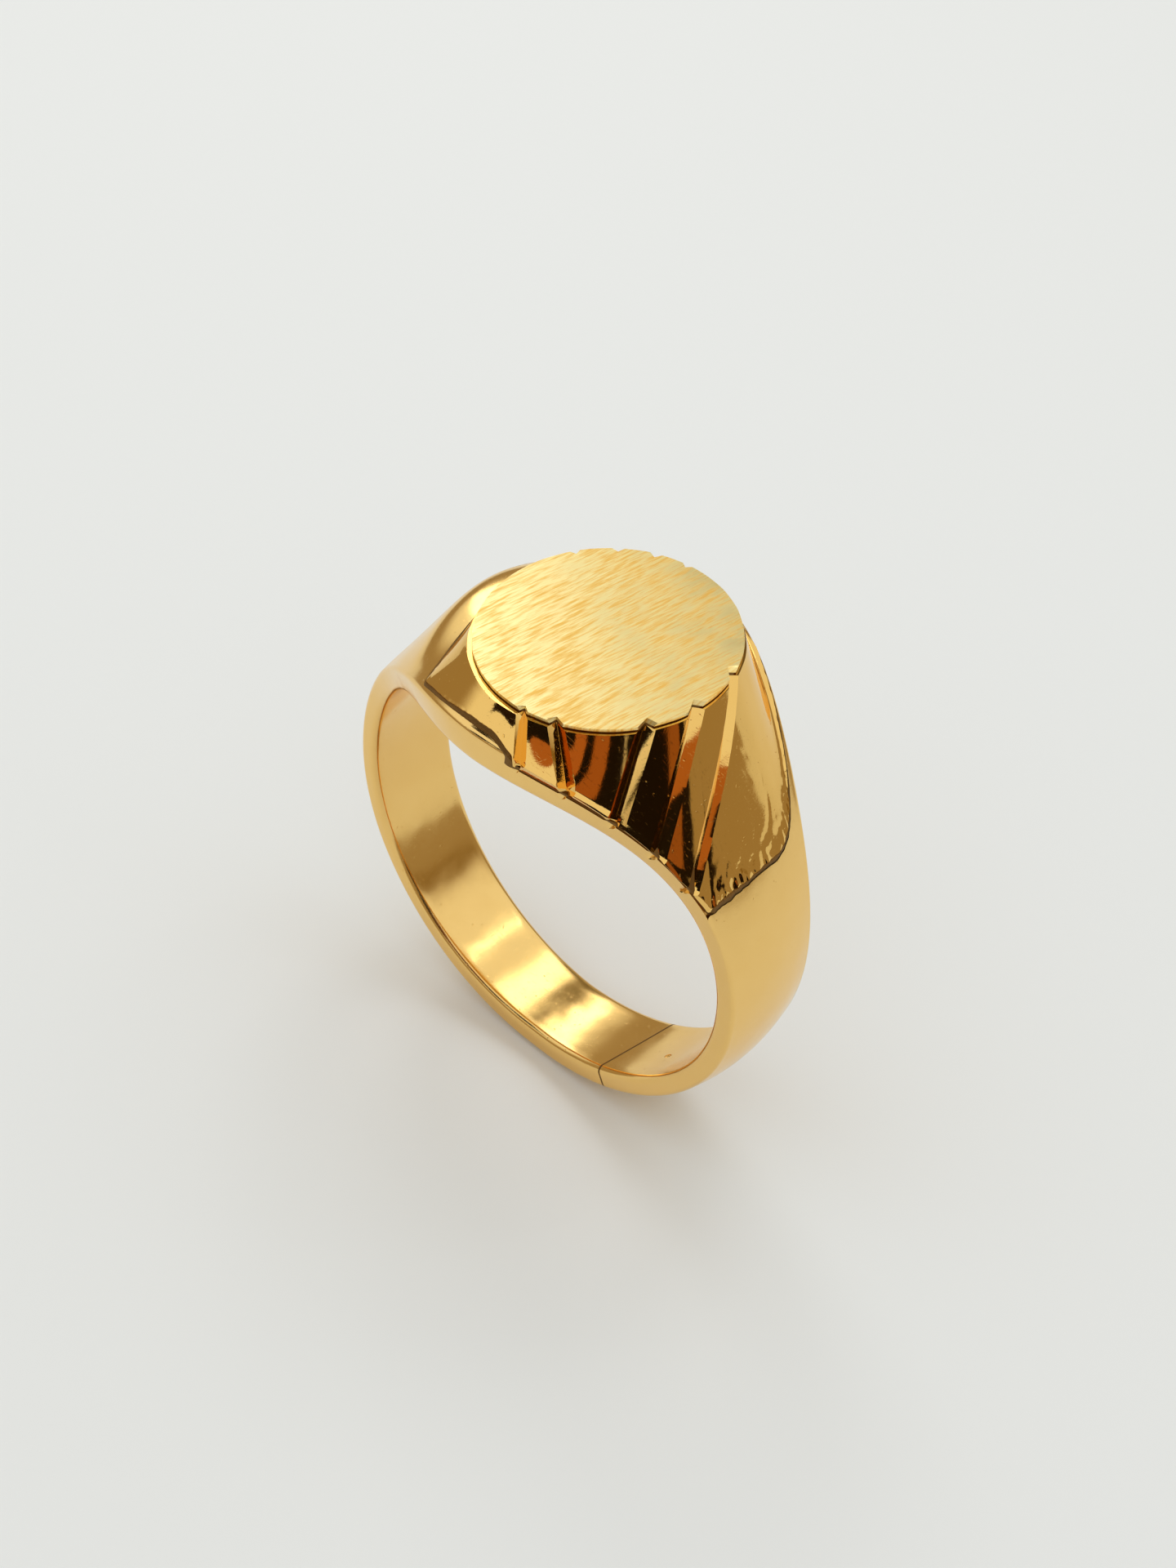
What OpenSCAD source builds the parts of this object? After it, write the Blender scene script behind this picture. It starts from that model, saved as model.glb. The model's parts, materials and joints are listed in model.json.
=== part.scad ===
// Signet ring, fabricated from a tapering band, a head block and a brushed table plate,
// joined with three solder seams. Origin at the centre of the finger hole, Y along the
// finger, +Z up through the table, X from shoulder to shoulder.

/* [Finger hole] */
// Inside diameter of the band
finger_d = 19; // [18:0.1:20]

/* [Band] */
// Width of the band at the palm
palm_w = 3.8; // [3:0.1:5]
// Width of the band halfway up, before it flares
side_w = 5.2; // [4:0.1:6]
// Width of the band under the head
head_w = 12.8; // [11.5:0.1:13.5]
// Angle from the head at which the flare has mostly died away, in degrees
flare_angle = 41; // [36:1:46]
// Thickness at the edges, at the palm
palm_t = 1.1; // [0.9:0.05:1.4]
// Thickness at the edges, at the sides
side_t = 0.85; // [0.7:0.05:1]
// Thickness at the edges, beside the head
shoulder_t = 1.5; // [1.3:0.05:1.6]
// Extra thickness along the middle of the band
crown_t = 0.25; // [0.15:0.05:0.35]
// Angle of the sizing seam from the palm, in degrees
seam_angle = 27; // [20:1:35]
// How far the sizing seam is turned from square across the band, in degrees
seam_skew = 14; // [0:1:20]

/* [Table] */
// Size of the table across the finger
table_x = 9.9; // [9.4:0.1:10.4]
// Size of the table along the finger
table_y = 10.7; // [10.2:0.1:11]
// Height of the table above the centre of the finger hole
table_h = 12; // [11.8:0.05:12.3]
// Thickness of the table plate
plate_t = 0.4; // [0.3:0.05:0.6]
// Offset of the table towards the right shoulder
table_dx = 0.45; // [0:0.05:0.5]
// Offset of the table along the finger
table_dy = 0.35; // [0:0.05:0.4]

/* [Head block] */
// How far the head block reaches down the right shoulder, in degrees
right_reach = 56; // [53:1:57]
// How far the head block reaches down the left shoulder, in degrees
left_reach = 25; // [24:1:30]
// Thickness of the band that is left under the head
seat_t = 1; // [0.9:0.05:1.1]

/* [Grooves] */
// Width of a groove at the surface
groove_w = 0.5; // [0.3:0.05:0.6]
// Depth of a groove
groove_d = 0.25; // [0.15:0.05:0.3]

/* [Solder] */
// Thickness of a solder seam
solder_t = 0.1; // [0.08:0.01:0.12]

/* [Hidden] */

gold = [0.92, 0.71, 0.33];
pale_gold = [0.97, 0.82, 0.48];
solder_gold = [0.70, 0.47, 0.20];

finger_r = finger_d / 2;
seat_r = finger_r + seat_t;
block_r = seat_r + solder_t;
plate_z = table_h - plate_t;
block_z = plate_z - solder_t;
table_rx = table_x / 2;
table_ry = table_y / 2;

// The straight slope of a shoulder, from the table's edge down to the band
slope_top = [table_rx + table_dx, table_h];
slope_foot = [9.3, 5.6];
slope_len = norm(slope_foot - slope_top);
slope_n = [(slope_top[1] - slope_foot[1]) / slope_len, (slope_foot[0] - slope_top[0]) / slope_len];
slope_dist = slope_n * slope_top;
slope_blend = 62;
slope_start = 20;

band_steps = 72;
band_ribs = 8;
head_steps = 48;
wall_rows = 5;
reach = 100;

// Table angle and band angle at the foot of each groove; the back ones lie half a turn on
front_grooves = [[-84, 11], [-66, 21], [-30, 31.5], [-6, 41.5], [20, 51]];
back_grooves = [[-30, 31.5], [-6, 41.5], [20, 51]];
groove_rows = 6;

function bell(a, width) = exp(-pow(a / width, 2));
function ease(x) = let(t = max(0, min(1, x))) t * t * (3 - 2 * t);

// A sine or cosine squared up, so that a round outline becomes a cushion
corner = 0.45;
function spread(v) = sign(v) * pow(abs(v), corner);
function flatten(v) = sign(v) * pow(abs(v), 0.3);

// Half the band's width at angle a from the head
function half_w(a) =
    (side_w - (side_w - palm_w) * abs(a) / 180 + (head_w - side_w) * bell(a, flare_angle)) / 2;

// Thickness of the band at its edges
function edge_t(a) =
    side_t + (palm_t - side_t) * ease((abs(a) - 120) / 60) + (shoulder_t - side_t) * bell(a, 55);

// Radius at which a ray at angle a meets the shoulder's slope
function slope_r(a) = slope_dist / (slope_n[0] * sin(abs(a)) + slope_n[1] * cos(a));

// Extra thickness of the band along its middle
function crown(a) = let(
    plain = crown_t,
    sloped = abs(a) < slope_blend ? slope_r(max(abs(a), slope_start)) - finger_r - edge_t(a) : 0)
    max(plain, sloped);

// A point of the band's outer surface, s from -1 at the front edge to 1 at the back edge
function band_r(a, s) = finger_r + edge_t(a) + crown(a) * (1 - s * s);
function around(r, a, y) = [r * sin(a), y, r * cos(a)];
function band_pt(a, s) = around(band_r(a, s), a, s * half_w(a));

// The head block's outline on the band, f running round it from the right shoulder
function reach_a(f) = (cos(f) > 0 ? right_reach - 2 * sin(f) : left_reach + 7 * sin(f)) * spread(cos(f));
function foot_s(f) = flatten(sin(f));
function foot_pt(f) = band_pt(reach_a(f), foot_s(f));
function foot_core(f) = let(p = foot_pt(f)) [p[0], p[1], min(p[2] - 1, core_z(p[0]))];
// Height of the head form's underside, below the seat
function core_z(x) = sqrt(pow(finger_r - 0.7, 2) - x * x);
// The same outline seen from above, run past the band's edge at the front and back
function outline_pt(f) = let(p = foot_pt(f))
    [p[0], p[1] + sign(p[1]) * overrun * pow(abs(p[1]) * 2 / head_w, 6)];
overrun = 0.25;
function table_pt(f) = [table_dx + table_rx * cos(f), table_dy + table_ry * sin(f), table_h];

// The wall between the table and the foot, hollowed a little at the front and back
wall_hollow = 0.12;
function wall_pt(f, v) = let(
    t = table_pt(f),
    b = foot_pt(f),
    u = v - wall_hollow * 4 * v * (1 - v) * pow(sin(f), 2))
    [t[0] + (b[0] - t[0]) * u, t[1] + (b[1] - t[1]) * u, t[2] + (b[2] - t[2]) * v];

// Side faces of a stack of closed rings, each with n points
function side_faces(n, rows) = [
    for (j = [0 : rows - 2], i = [0 : n - 1])
        let(k = (i + 1) % n)
        for (tri = [[j * n + i, j * n + k, (j + 1) * n + k], [j * n + i, (j + 1) * n + k, (j + 1) * n + i]])
            tri
];

// A solid through a stack of rings, closed by a fan at each end
module stack(rings, top, bottom) {
    n = len(rings[0]);
    rows = len(rings);
    points = concat([for (ring = rings, p = ring) p], [top, bottom]);
    top_fan = [for (i = [0 : n - 1]) [n * rows, (i + 1) % n, i]];
    bottom_fan = [for (i = [0 : n - 1]) [n * rows + 1, n * (rows - 1) + i, n * (rows - 1) + (i + 1) % n]];
    polyhedron(points, concat(side_faces(n, rows), top_fan, bottom_fan), convexity = 6);
}

// The whole band as a closed loop, thick enough inwards for the finger hole to be cut true
module band_form() {
    inner_r = finger_r - 0.5;
    n = band_ribs + 3;
    rings = [for (i = [0 : band_steps - 1])
        let(a = 360 * i / band_steps - 180, w = half_w(a))
        concat([for (k = [0 : band_ribs]) band_pt(a, 2 * k / band_ribs - 1)],
            [around(inner_r, a, w), around(inner_r, a, -w)])];
    faces = [for (i = [0 : band_steps - 1], k = [0 : n - 1])
        let(j = (i + 1) % band_steps, m = (k + 1) % n)
        for (tri = [[i * n + k, j * n + m, j * n + k], [i * n + k, i * n + m, j * n + m]]) tri];
    polyhedron([for (ring = rings, p = ring) p], faces, convexity = 8);
}

module finger_cylinder(r) {
    rotate([90, 0, 0]) cylinder(r = r, h = 2 * head_w, center = true, $fn = 180);
}

// The head block's outer form, from the table down past the seat
module head_form() {
    angles = [for (i = [0 : head_steps - 1]) 360 * i / head_steps];
    rings = concat(
        [for (j = [0 : wall_rows]) [for (f = angles) wall_pt(f, j / wall_rows)]],
        [[for (f = angles) foot_core(f)]]);
    stack(rings, [table_dx, table_dy, table_h], [0, 0, core_z(0)]);
}

// Everything inside the head's outline, widened by grow, from the seat upwards
module pocket(seat, grow) {
    difference() {
        linear_extrude(height = 2 * table_h)
            offset(delta = grow)
                polygon([for (i = [0 : head_steps - 1]) outline_pt(360 * i / head_steps)]);
        finger_cylinder(seat);
    }
}

module slab(z0, z1) {
    translate([-reach / 2, -reach / 2, z0]) cube([reach, reach, z1 - z0]);
}

// The wall's outward direction
function wall_out(f, v) = unit(cross(
    wall_pt(f + 1, v) - wall_pt(f - 1, v),
    wall_pt(f, v - 0.02) - wall_pt(f, v + 0.02)));
function unit(v) = v / norm(v);

// One groove, a three-sided cutter that follows the wall from the table to the foot
module groove(top_f, foot_f) {
    path = [for (j = [0 : groove_rows])
        let(v = -0.1 + 1.2 * j / groove_rows)
        wall_pt(top_f + (foot_f - top_f) * max(0, v), v)];
    rings = [for (j = [0 : groove_rows])
        let(
            v = -0.1 + 1.2 * j / groove_rows,
            out = wall_out(top_f + (foot_f - top_f) * max(0, v), max(0.02, min(0.9, v))),
            along = unit(path[min(j + 1, groove_rows)] - path[max(j - 1, 0)]),
            side = unit(cross(along, out)))
        [path[j] - out * groove_d, path[j] + out * groove_d + side * groove_w,
            path[j] + out * groove_d - side * groove_w]];
    stack(rings, path[0], path[groove_rows]);
}

// The outline angle whose foot lies at band angle a on the front of the right shoulder
function foot_angle(a) = -acos(pow(min(1, a / right_reach), 1 / corner));

module grooves() {
    for (ends = front_grooves)
        groove(ends[0], foot_angle(ends[1]));
    for (ends = back_grooves)
        groove(ends[0] + 180, foot_angle(ends[1]) + 180);
}

module seam_slot(t) {
    rotate([0, 180 - seam_angle, 0])
        rotate([0, 0, seam_skew])
            translate([-t / 2, -head_w / 2, finger_r / 2]) cube([t, head_w, finger_r]);
}

module shank() {
    color(gold)
        difference() {
            band_form();
            finger_cylinder(finger_r);
            pocket(seat_r, solder_t);
            seam_slot(solder_t);
        }
}

module shank_solder() {
    color(solder_gold)
        difference() {
            intersection() {
                band_form();
                seam_slot(solder_t);
            }
            finger_cylinder(finger_r);
        }
}

module head_block() {
    color(gold)
        difference() {
            head_form();
            finger_cylinder(block_r);
            slab(block_z, reach);
            grooves();
        }
}

module head_solder() {
    color(solder_gold)
        difference() {
            intersection() {
                band_form();
                pocket(seat_r, solder_t);
            }
            pocket(block_r, 0);
        }
}

module table_plate() {
    color(pale_gold)
        difference() {
            intersection() {
                head_form();
                slab(plate_z, reach);
            }
            grooves();
        }
}

module table_solder() {
    color(solder_gold)
        difference() {
            intersection() {
                head_form();
                slab(block_z, plate_z);
            }
            grooves();
        }
}

shank();
shank_solder();
head_block();
head_solder();
table_plate();
table_solder();
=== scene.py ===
"""A gold signet ring on a pale studio floor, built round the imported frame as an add-on."""
import json
from functools import lru_cache
from math import acos, asin, atan2, cos, degrees, exp, pi, radians, sin, sqrt

import bmesh
import bpy
from bpy.props import FloatProperty, FloatVectorProperty, PointerProperty
from mathutils import Matrix, Vector, noise


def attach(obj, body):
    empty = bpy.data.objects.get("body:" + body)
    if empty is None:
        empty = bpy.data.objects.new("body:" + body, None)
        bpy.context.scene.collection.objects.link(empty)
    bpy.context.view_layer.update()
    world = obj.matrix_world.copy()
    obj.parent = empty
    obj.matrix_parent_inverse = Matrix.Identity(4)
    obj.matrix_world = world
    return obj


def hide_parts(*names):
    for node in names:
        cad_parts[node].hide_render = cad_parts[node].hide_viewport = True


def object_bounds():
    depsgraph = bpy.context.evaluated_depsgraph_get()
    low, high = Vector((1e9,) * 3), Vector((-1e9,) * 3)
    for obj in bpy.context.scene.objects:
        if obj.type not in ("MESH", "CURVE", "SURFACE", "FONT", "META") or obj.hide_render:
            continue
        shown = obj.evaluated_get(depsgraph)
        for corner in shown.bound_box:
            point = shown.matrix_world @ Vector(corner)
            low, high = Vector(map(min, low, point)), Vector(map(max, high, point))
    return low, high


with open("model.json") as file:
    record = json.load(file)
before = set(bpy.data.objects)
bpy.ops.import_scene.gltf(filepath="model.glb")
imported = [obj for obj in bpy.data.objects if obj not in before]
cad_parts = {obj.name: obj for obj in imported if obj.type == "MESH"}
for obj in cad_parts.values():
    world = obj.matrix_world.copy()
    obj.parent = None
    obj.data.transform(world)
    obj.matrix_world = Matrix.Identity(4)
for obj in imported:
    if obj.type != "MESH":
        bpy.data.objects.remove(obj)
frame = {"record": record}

CAD_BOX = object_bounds()

bl_info = {
    "name": "Signet ring",
    "version": (1, 0, 0),
    "blender": (4, 5, 0),
    "location": "View3D > Sidebar > Signet ring",
    "description": "Models a soldered gold signet ring and its studio round a packed frame",
    "category": "Add Mesh",
}

MM = 0.001
BODY = "root"


def mount(name):
    """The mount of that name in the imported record."""
    return next(m for m in frame["record"]["mounts"] if m["name"] == name)


HOLE = mount("finger_hole")
TABLE_TOP = mount("table_face")


def length(name, description, default, precision=5):
    return FloatProperty(
        name=name, description=description, default=default, unit="LENGTH", precision=precision)


def angle(name, description, default):
    return FloatProperty(name=name, description=description, default=radians(default), subtype="ANGLE")


def colour(name, description, default):
    return FloatVectorProperty(
        name=name, description=description, default=default, subtype="COLOR", min=0, max=1)


class RingSizes(bpy.types.PropertyGroup):
    """Sizes of the ring, in metres and degrees."""

    finger_r: length("Finger radius", "Inside radius of the band", HOLE["dims"]["r_mm"] * MM)
    head_w: length("Head width", "Width of the band under the head", HOLE["dims"]["length_mm"] * MM)
    side_w: length("Side width", "Width of the band halfway up, before it flares", 0.0052)
    palm_w: length("Palm width", "Width of the band at the palm", 0.0038)
    flare: angle("Flare angle", "Angle from the head at which the flare has mostly died away", 41)
    palm_t: length("Palm thickness", "Thickness of the band's edges at the palm", 0.0011)
    side_t: length("Side thickness", "Thickness of the band's edges at the sides", 0.00085)
    shoulder_t: length(
        "Shoulder thickness", "Thickness of the band's edges beside the head",
        0.0015)
    crown_t: length("Crown", "Extra thickness along the middle of the band", 0.00025)
    table_x: length("Table across", "Size of the table across the finger", 0.0099)
    table_y: length("Table along", "Size of the table along the finger", 0.0107)
    plate_t: length("Plate thickness", "Thickness of the table plate", 0.00013)
    seat_t: length("Seat thickness", "Thickness of the band left under the head", 0.001)
    solder_t: length("Solder", "Thickness of a solder seam", 0.0001)
    right_reach: angle("Right reach", "How far the head block reaches down the right shoulder", 56)


class RingFinish(bpy.types.PropertyGroup):
    """Colours of the gold and the solder."""

    band: colour("Band gold", "Colour of the polished band", (0.93, 0.62, 0.22))
    head: colour("Head gold", "Colour of the head block's walls", (0.90, 0.57, 0.17))
    # The table's gold is painted paler than the band's and the head's gold: a painted highlight of its
    # lit top face
    table: colour("Table gold", "Colour of the brushed table", (1.0, 0.84, 0.39))
    solder: colour("Solder", "Colour of the tarnished solder lines", (0.16, 0.085, 0.025))
    floor: colour("Floor", "Colour of the studio floor", (0.88, 0.90, 0.90))


class RingStudio(bpy.types.PropertyGroup):
    """Where the camera stands and how it looks."""

    azimuth: angle("Azimuth", "Direction that the camera stands in, from the front", 39.63)
    elevation: angle("Elevation", "Height of the camera over the floor, as an angle", 44.52)
    roll: angle("Roll", "Turn of the camera about its own view", 5.03)
    distance: length("Distance", "Distance from the camera to the finger hole's centre", 0.10371)
    aim_right: length(
        "Aim right", "How far the view's middle lies right of the hole's centre",
        0.000524, 6)
    aim_up: length("Aim up", "How far the view's middle lies above the hole's centre", 0.002867, 6)
    lens: FloatProperty(
        name="Lens", description="Focal length over a 36 mm wide sensor, in millimetres",
        default=77.6, min=10)


def bell(a, width):
    return exp(-(a / width) ** 2)


def ease(x):
    t = max(0.0, min(1.0, x))
    return t * t * (3 - 2 * t)


def mix(a, b, t):
    return a + (b - a) * t


def sign(v):
    return (v > 0) - (v < 0)


def spread(v, power):
    """A sine or cosine squared up, so that a round outline becomes a cushion."""
    return sign(v) * abs(v) ** power


def smooth_max(a, b, soft):
    return (a + b + sqrt((a - b) ** 2 + soft ** 2)) / 2


def around(r, a, y):
    """The point at radius r and a degrees round the finger from the top."""
    return Vector((r * sin(radians(a)), y, r * cos(radians(a))))


class RingForm:
    """The ring's surfaces as formulas, in millimetres and degrees."""

    # The straight slope of a shoulder: its foot in the XZ plane, and the band angles it spans
    SLOPE_FOOT = Vector((9.3, 5.6))
    SLOPE_START = 20
    SLOPE_END = 55
    # How softly the slope runs out into the band and into the left shoulder's level
    SLOPE_BLEND = 0.12
    LEVEL_BLEND = 0.4
    # How far round the thickening beside the head dies away, and the right side's extra thickness
    THICK_SPAN = 55
    UNEVEN = 0.09
    # Thickness of the solder film under the table plate
    FILM_T = 0.06
    # How far the walls are hollowed, as a part of their spread
    HOLLOW = 0.02
    # Powers that square the right back outline up into a cushion, round it and across it
    CORNER = 0.45
    CORNER_ACROSS = 0.4
    # Where the foot stands across the band, as a part of its half width: behind, before, at the right
    BACK_S = 0.93
    FRONT_S = 0.94
    RIGHT_S = 0.9
    # The left shoulder levels off just below the table, and the head's foot runs close round it
    LEFT_LEVEL = 0.6
    LEFT_MARGIN = 0.2
    # The head's sharp front left corner: outline angle, place seen from above, bow of its side
    LEFT_CORNER = 232.5
    LEFT_TIP = Vector((-3.61, -5.23))
    LEFT_BOW = 1.1
    # Outline angle and band angle of the foot along the front edge, a facet between each pair
    FRONT_FOOT = [(232.5, -18.5), (277, 11), (292.5, 21), (331, 31.5), (352.5, 57)]
    # Step of the search for even distances along the foot, and how much the rim counts in them
    SEARCH_STEP = 0.05
    RIM_SHARE = 0.5

    def __init__(self, sizes):
        def mm(name):
            return getattr(sizes, name) / MM
        for name in ("finger_r", "head_w", "side_w", "palm_w", "palm_t", "side_t", "shoulder_t",
                     "crown_t", "solder_t"):
            setattr(self, name, mm(name))
        self.flare = degrees(sizes.flare)
        self.right_reach = degrees(sizes.right_reach)
        self.table_rx = mm("table_x") / 2
        self.table_ry = mm("table_y") / 2
        self.table_at = Vector(TABLE_TOP["pos_m"]) / MM
        self.table_h = self.table_at.z
        self.plate_z = self.table_h - mm("plate_t")
        self.block_z = self.plate_z - self.FILM_T
        self.seat_r = self.finger_r + mm("seat_t")
        self.block_r = self.seat_r + self.solder_t
        top = Vector((self.table_rx + self.table_at.x, self.table_h))
        run = self.SLOPE_FOOT - top
        self.slope_n = Vector((-run.y, run.x)).normalized()
        self.slope_dist = self.slope_n.dot(top)

    def half_w(self, a):
        taper = self.side_w - (self.side_w - self.palm_w) * abs(a) / 180
        return (taper + (self.head_w - self.side_w) * bell(a, self.flare)) / 2

    def edge_t(self, a):
        """Thickness of the band at its edges."""
        palm = (self.palm_t - self.side_t) * ease((abs(a) - 120) / 60)
        shoulder = (self.shoulder_t - self.side_t) * bell(a, self.THICK_SPAN)
        return self.side_t + palm + shoulder + self.UNEVEN * sin(radians(a))

    def slope_r(self, a):
        """Radius at which a ray at angle a meets the shoulder's slope."""
        fall = self.slope_n.x * sin(radians(abs(a))) + self.slope_n.y * cos(radians(a))
        return self.slope_dist / fall

    def crown(self, a):
        """Extra thickness along the band's middle, which makes the straight slope of a shoulder."""
        near = max(min(abs(a), self.SLOPE_END), self.SLOPE_START)
        rise = self.slope_r(near)
        level = (self.table_h - self.LEFT_LEVEL) / cos(radians(near))
        rise = mix(rise, -smooth_max(-rise, -level, self.LEVEL_BLEND), ease(-a / 12))
        extra = rise - self.finger_r - self.edge_t(min(abs(a), self.SLOPE_END)) - self.crown_t
        return self.crown_t + smooth_max(extra, 0, self.SLOPE_BLEND) * ease((95 - abs(a)) / 40)

    def band_r(self, a, s):
        return self.finger_r + self.edge_t(a) + self.crown(a) * (1 - s * s)

    def band_pt(self, a, s):
        return around(self.band_r(a, s), a, s * self.half_w(a))

    def at_plan(self, x, y):
        """Where on the band a point seen from above lies."""
        a = degrees(atan2(x, self.table_h))
        for _ in range(12):
            s = max(-1.0, min(1.0, y / self.half_w(a)))
            a = degrees(asin(x / self.band_r(a, s)))
        return a, s

    @lru_cache(maxsize=None)
    def foot_at(self, f):
        """Where the head's foot lies: degrees round the band, and from -1 at its front edge to 1."""
        c, s = cos(radians(f)), sin(radians(f))
        turn = f % 360
        side_x = self.table_at.x - self.table_rx - self.LEFT_MARGIN
        if turn <= 90:
            reach = (self.right_reach - 2 * s) * spread(c, self.CORNER)
            return reach, self.BACK_S * spread(s, self.CORNER_ACROSS)
        if turn <= 180:
            return self.at_plan(side_x * -c, self.table_at.y + (self.table_ry + self.LEFT_MARGIN) * s)
        if turn <= self.LEFT_CORNER:
            down = (turn - 180) / (self.LEFT_CORNER - 180)
            return self.at_plan(mix(side_x, self.LEFT_TIP.x, down ** self.LEFT_BOW),
                                mix(self.table_at.y, self.LEFT_TIP.y, down))
        corner_f, corner_a = self.FRONT_FOOT[-1]
        if turn <= corner_f:
            a = self.between(self.FRONT_FOOT, turn)
            out_to_edge = mix(self.FRONT_S, 1.0, ease((a - 2) / 9))
            back_in = (1 - self.RIGHT_S) * ease((a - 47) / 10)
            return a, back_in - out_to_edge
        side = (turn - corner_f) / (360 - corner_f)
        return mix(corner_a, self.right_reach, side), mix(-self.RIGHT_S, 0, side)

    @staticmethod
    def between(knots, x):
        """Straight-line interpolation in a list of pairs."""
        for (x0, y0), (x1, y1) in zip(knots, knots[1:]):
            if x <= x1:
                return mix(y0, y1, (x - x0) / (x1 - x0))
        return knots[-1][1]

    def reach_a(self, f):
        return self.foot_at(f)[0]

    def foot_s(self, f):
        return self.foot_at(f)[1]

    @lru_cache(maxsize=None)
    def outline(self, steps):
        """Outline angles whose feet stand at even distances along the head's foot."""
        fine = [self.SEARCH_STEP * i for i in range(round(360 / self.SEARCH_STEP) + 1)]
        walked = [0.0]
        for f, g in zip(fine, fine[1:]):
            rim = (self.table_pt(g) - self.table_pt(f)).length
            foot = (self.foot_pt(g) - self.foot_pt(f)).length
            walked.append(walked[-1] + foot + self.RIM_SHARE * rim)
        angles, i = [], 0
        for k in range(steps):
            want = walked[-1] * k / steps
            while walked[i + 1] < want:
                i += 1
            part = (want - walked[i]) / (walked[i + 1] - walked[i])
            angles.append(mix(fine[i], fine[i + 1], part))
        return angles

    def lip(self, f):
        """1 where the head's foot stands on the band's front edge, with a lip and a ledge."""
        if sin(radians(f)) > 0:
            return 0.0
        return ease((self.reach_a(f) - 8) / 4) * ease((abs(self.foot_s(f)) - 0.86) / 0.08)

    def ragged(self, f):
        """A filed edge's unevenness, greatest at the foot of the right shoulder."""
        at = self.foot_pt(f)
        coarse = noise.noise(at * 1.1) * 0.03
        fine = noise.noise(at * 4.5) * 0.02
        rough = 1 + 2.4 * ease((self.reach_a(f) - 48) / 6)
        return (coarse + fine) * rough * (1 - self.lip(f))

    @lru_cache(maxsize=None)
    def outward(self, f):
        """The level direction square to the head's outline."""
        step = 0.5
        before = self.band_pt(self.reach_a(f - step), self.foot_s(f - step))
        after = self.band_pt(self.reach_a(f + step), self.foot_s(f + step))
        return Vector((after.y - before.y, before.x - after.x, 0)).normalized()

    @lru_cache(maxsize=None)
    def foot_pt(self, f, grow=0.0):
        """The head's foot on the band, widened by grow."""
        a, s = self.reach_a(f), self.foot_s(f)
        p = self.band_pt(a, s)
        out = self.outward(f)
        q = p + out * grow * (1 - self.lip(f))
        # Drop the moved point back to the band's surface, so that the joint stays even
        s_new = max(-1.0, min(1.0, q.y / self.half_w(a)))
        r_old, r_new = self.band_r(a, s), self.band_r(a, s_new)
        return q + around(r_new - r_old, a, 0)

    def seam_pt(self, f):
        """The outside of the solder line round the foot, uneven in width."""
        return self.foot_pt(f, self.solder_t + 0.5 * abs(self.ragged(f + 3)))

    def foot_angle(self, a):
        """The outline angle whose foot lies at band angle a on the front edge."""
        return self.between([(angle, f - 360) for f, angle in self.FRONT_FOOT], a)

    def saddle_z(self, x, r):
        """Height at x of a cylinder of radius r round the finger."""
        return sqrt(max(0.01, r * r - x * x))

    @lru_cache(maxsize=None)
    def table_pt(self, f):
        wave = 1 + 0.004 * noise.noise(Vector((cos(radians(f)), sin(radians(f)), 3)) * 6)
        return Vector((
            self.table_at.x + self.table_rx * wave * cos(radians(f)),
            self.table_at.y + self.table_ry * wave * sin(radians(f)),
            self.table_h))

    def wall_pt(self, f, v):
        """The head's wall, from the table's edge at v = 0 to the foot at v = 1."""
        t, b = self.table_pt(f), self.foot_pt(f)
        u = v - self.HOLLOW * 4 * v * (1 - v) * sin(radians(f)) ** 2
        return Vector((mix(t.x, b.x, u), mix(t.y, b.y, u), mix(t.z, b.z, v)))

    def wall_out(self, f, v):
        along = self.wall_pt(f + 1, v) - self.wall_pt(f - 1, v)
        down = self.wall_pt(f, v + 0.02) - self.wall_pt(f, v - 0.02)
        return down.cross(along).normalized()


def form_now():
    return RingForm(bpy.context.scene.ring_sizes)


# Mesh helpers -----------------------------------------------------------------------------


def deselect():
    if bpy.context.object and bpy.context.object.mode != "OBJECT":
        bpy.ops.object.mode_set(mode="OBJECT")
    bpy.ops.object.select_all(action="DESELECT")


def only(ob):
    deselect()
    ob.select_set(True)
    bpy.context.view_layer.objects.active = ob


def new_piece(name):
    """Names the primitive that was just added."""
    ob = bpy.context.object
    ob.name = name
    ob.data.name = name
    return ob


def reshape_torus(name, rings):
    """A torus primitive moved, ring by ring, onto the closed sections in rings."""
    deselect()
    bpy.ops.mesh.primitive_torus_add(
        major_segments=len(rings), minor_segments=len(rings[0]), major_radius=10, minor_radius=1)
    ob = new_piece(name)
    for v in ob.data.vertices:
        i, j = divmod(v.index, len(rings[0]))
        v.co = rings[i][j]
    outwards(ob)
    return ob


def reshape_sphere(name, rings, top, bottom):
    """A sphere primitive moved onto the closed rings, with a pole at each end."""
    n = len(rings[0])
    rows = len(rings) + 1
    deselect()
    bpy.ops.mesh.primitive_uv_sphere_add(segments=n, ring_count=rows, radius=1)
    ob = new_piece(name)
    for v in ob.data.vertices:
        row = round(acos(max(-1.0, min(1.0, v.co.z))) * rows / pi)
        if row in (0, rows):
            v.co = bottom if row else top
            continue
        column = round(atan2(v.co.y, v.co.x) * n / (2 * pi)) % n
        v.co = rings[row - 1][column]
    outwards(ob)
    return ob


def outwards(ob):
    """Turns a closed body's faces outwards."""
    only(ob)
    bpy.ops.object.mode_set(mode="EDIT")
    bpy.ops.mesh.select_all(action="SELECT")
    bpy.ops.mesh.remove_doubles(threshold=1e-5)
    bm = bmesh.from_edit_mesh(ob.data)
    if bm.calc_volume(signed=True) < 0:
        bpy.ops.mesh.flip_normals()
    bpy.ops.object.mode_set(mode="OBJECT")


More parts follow.
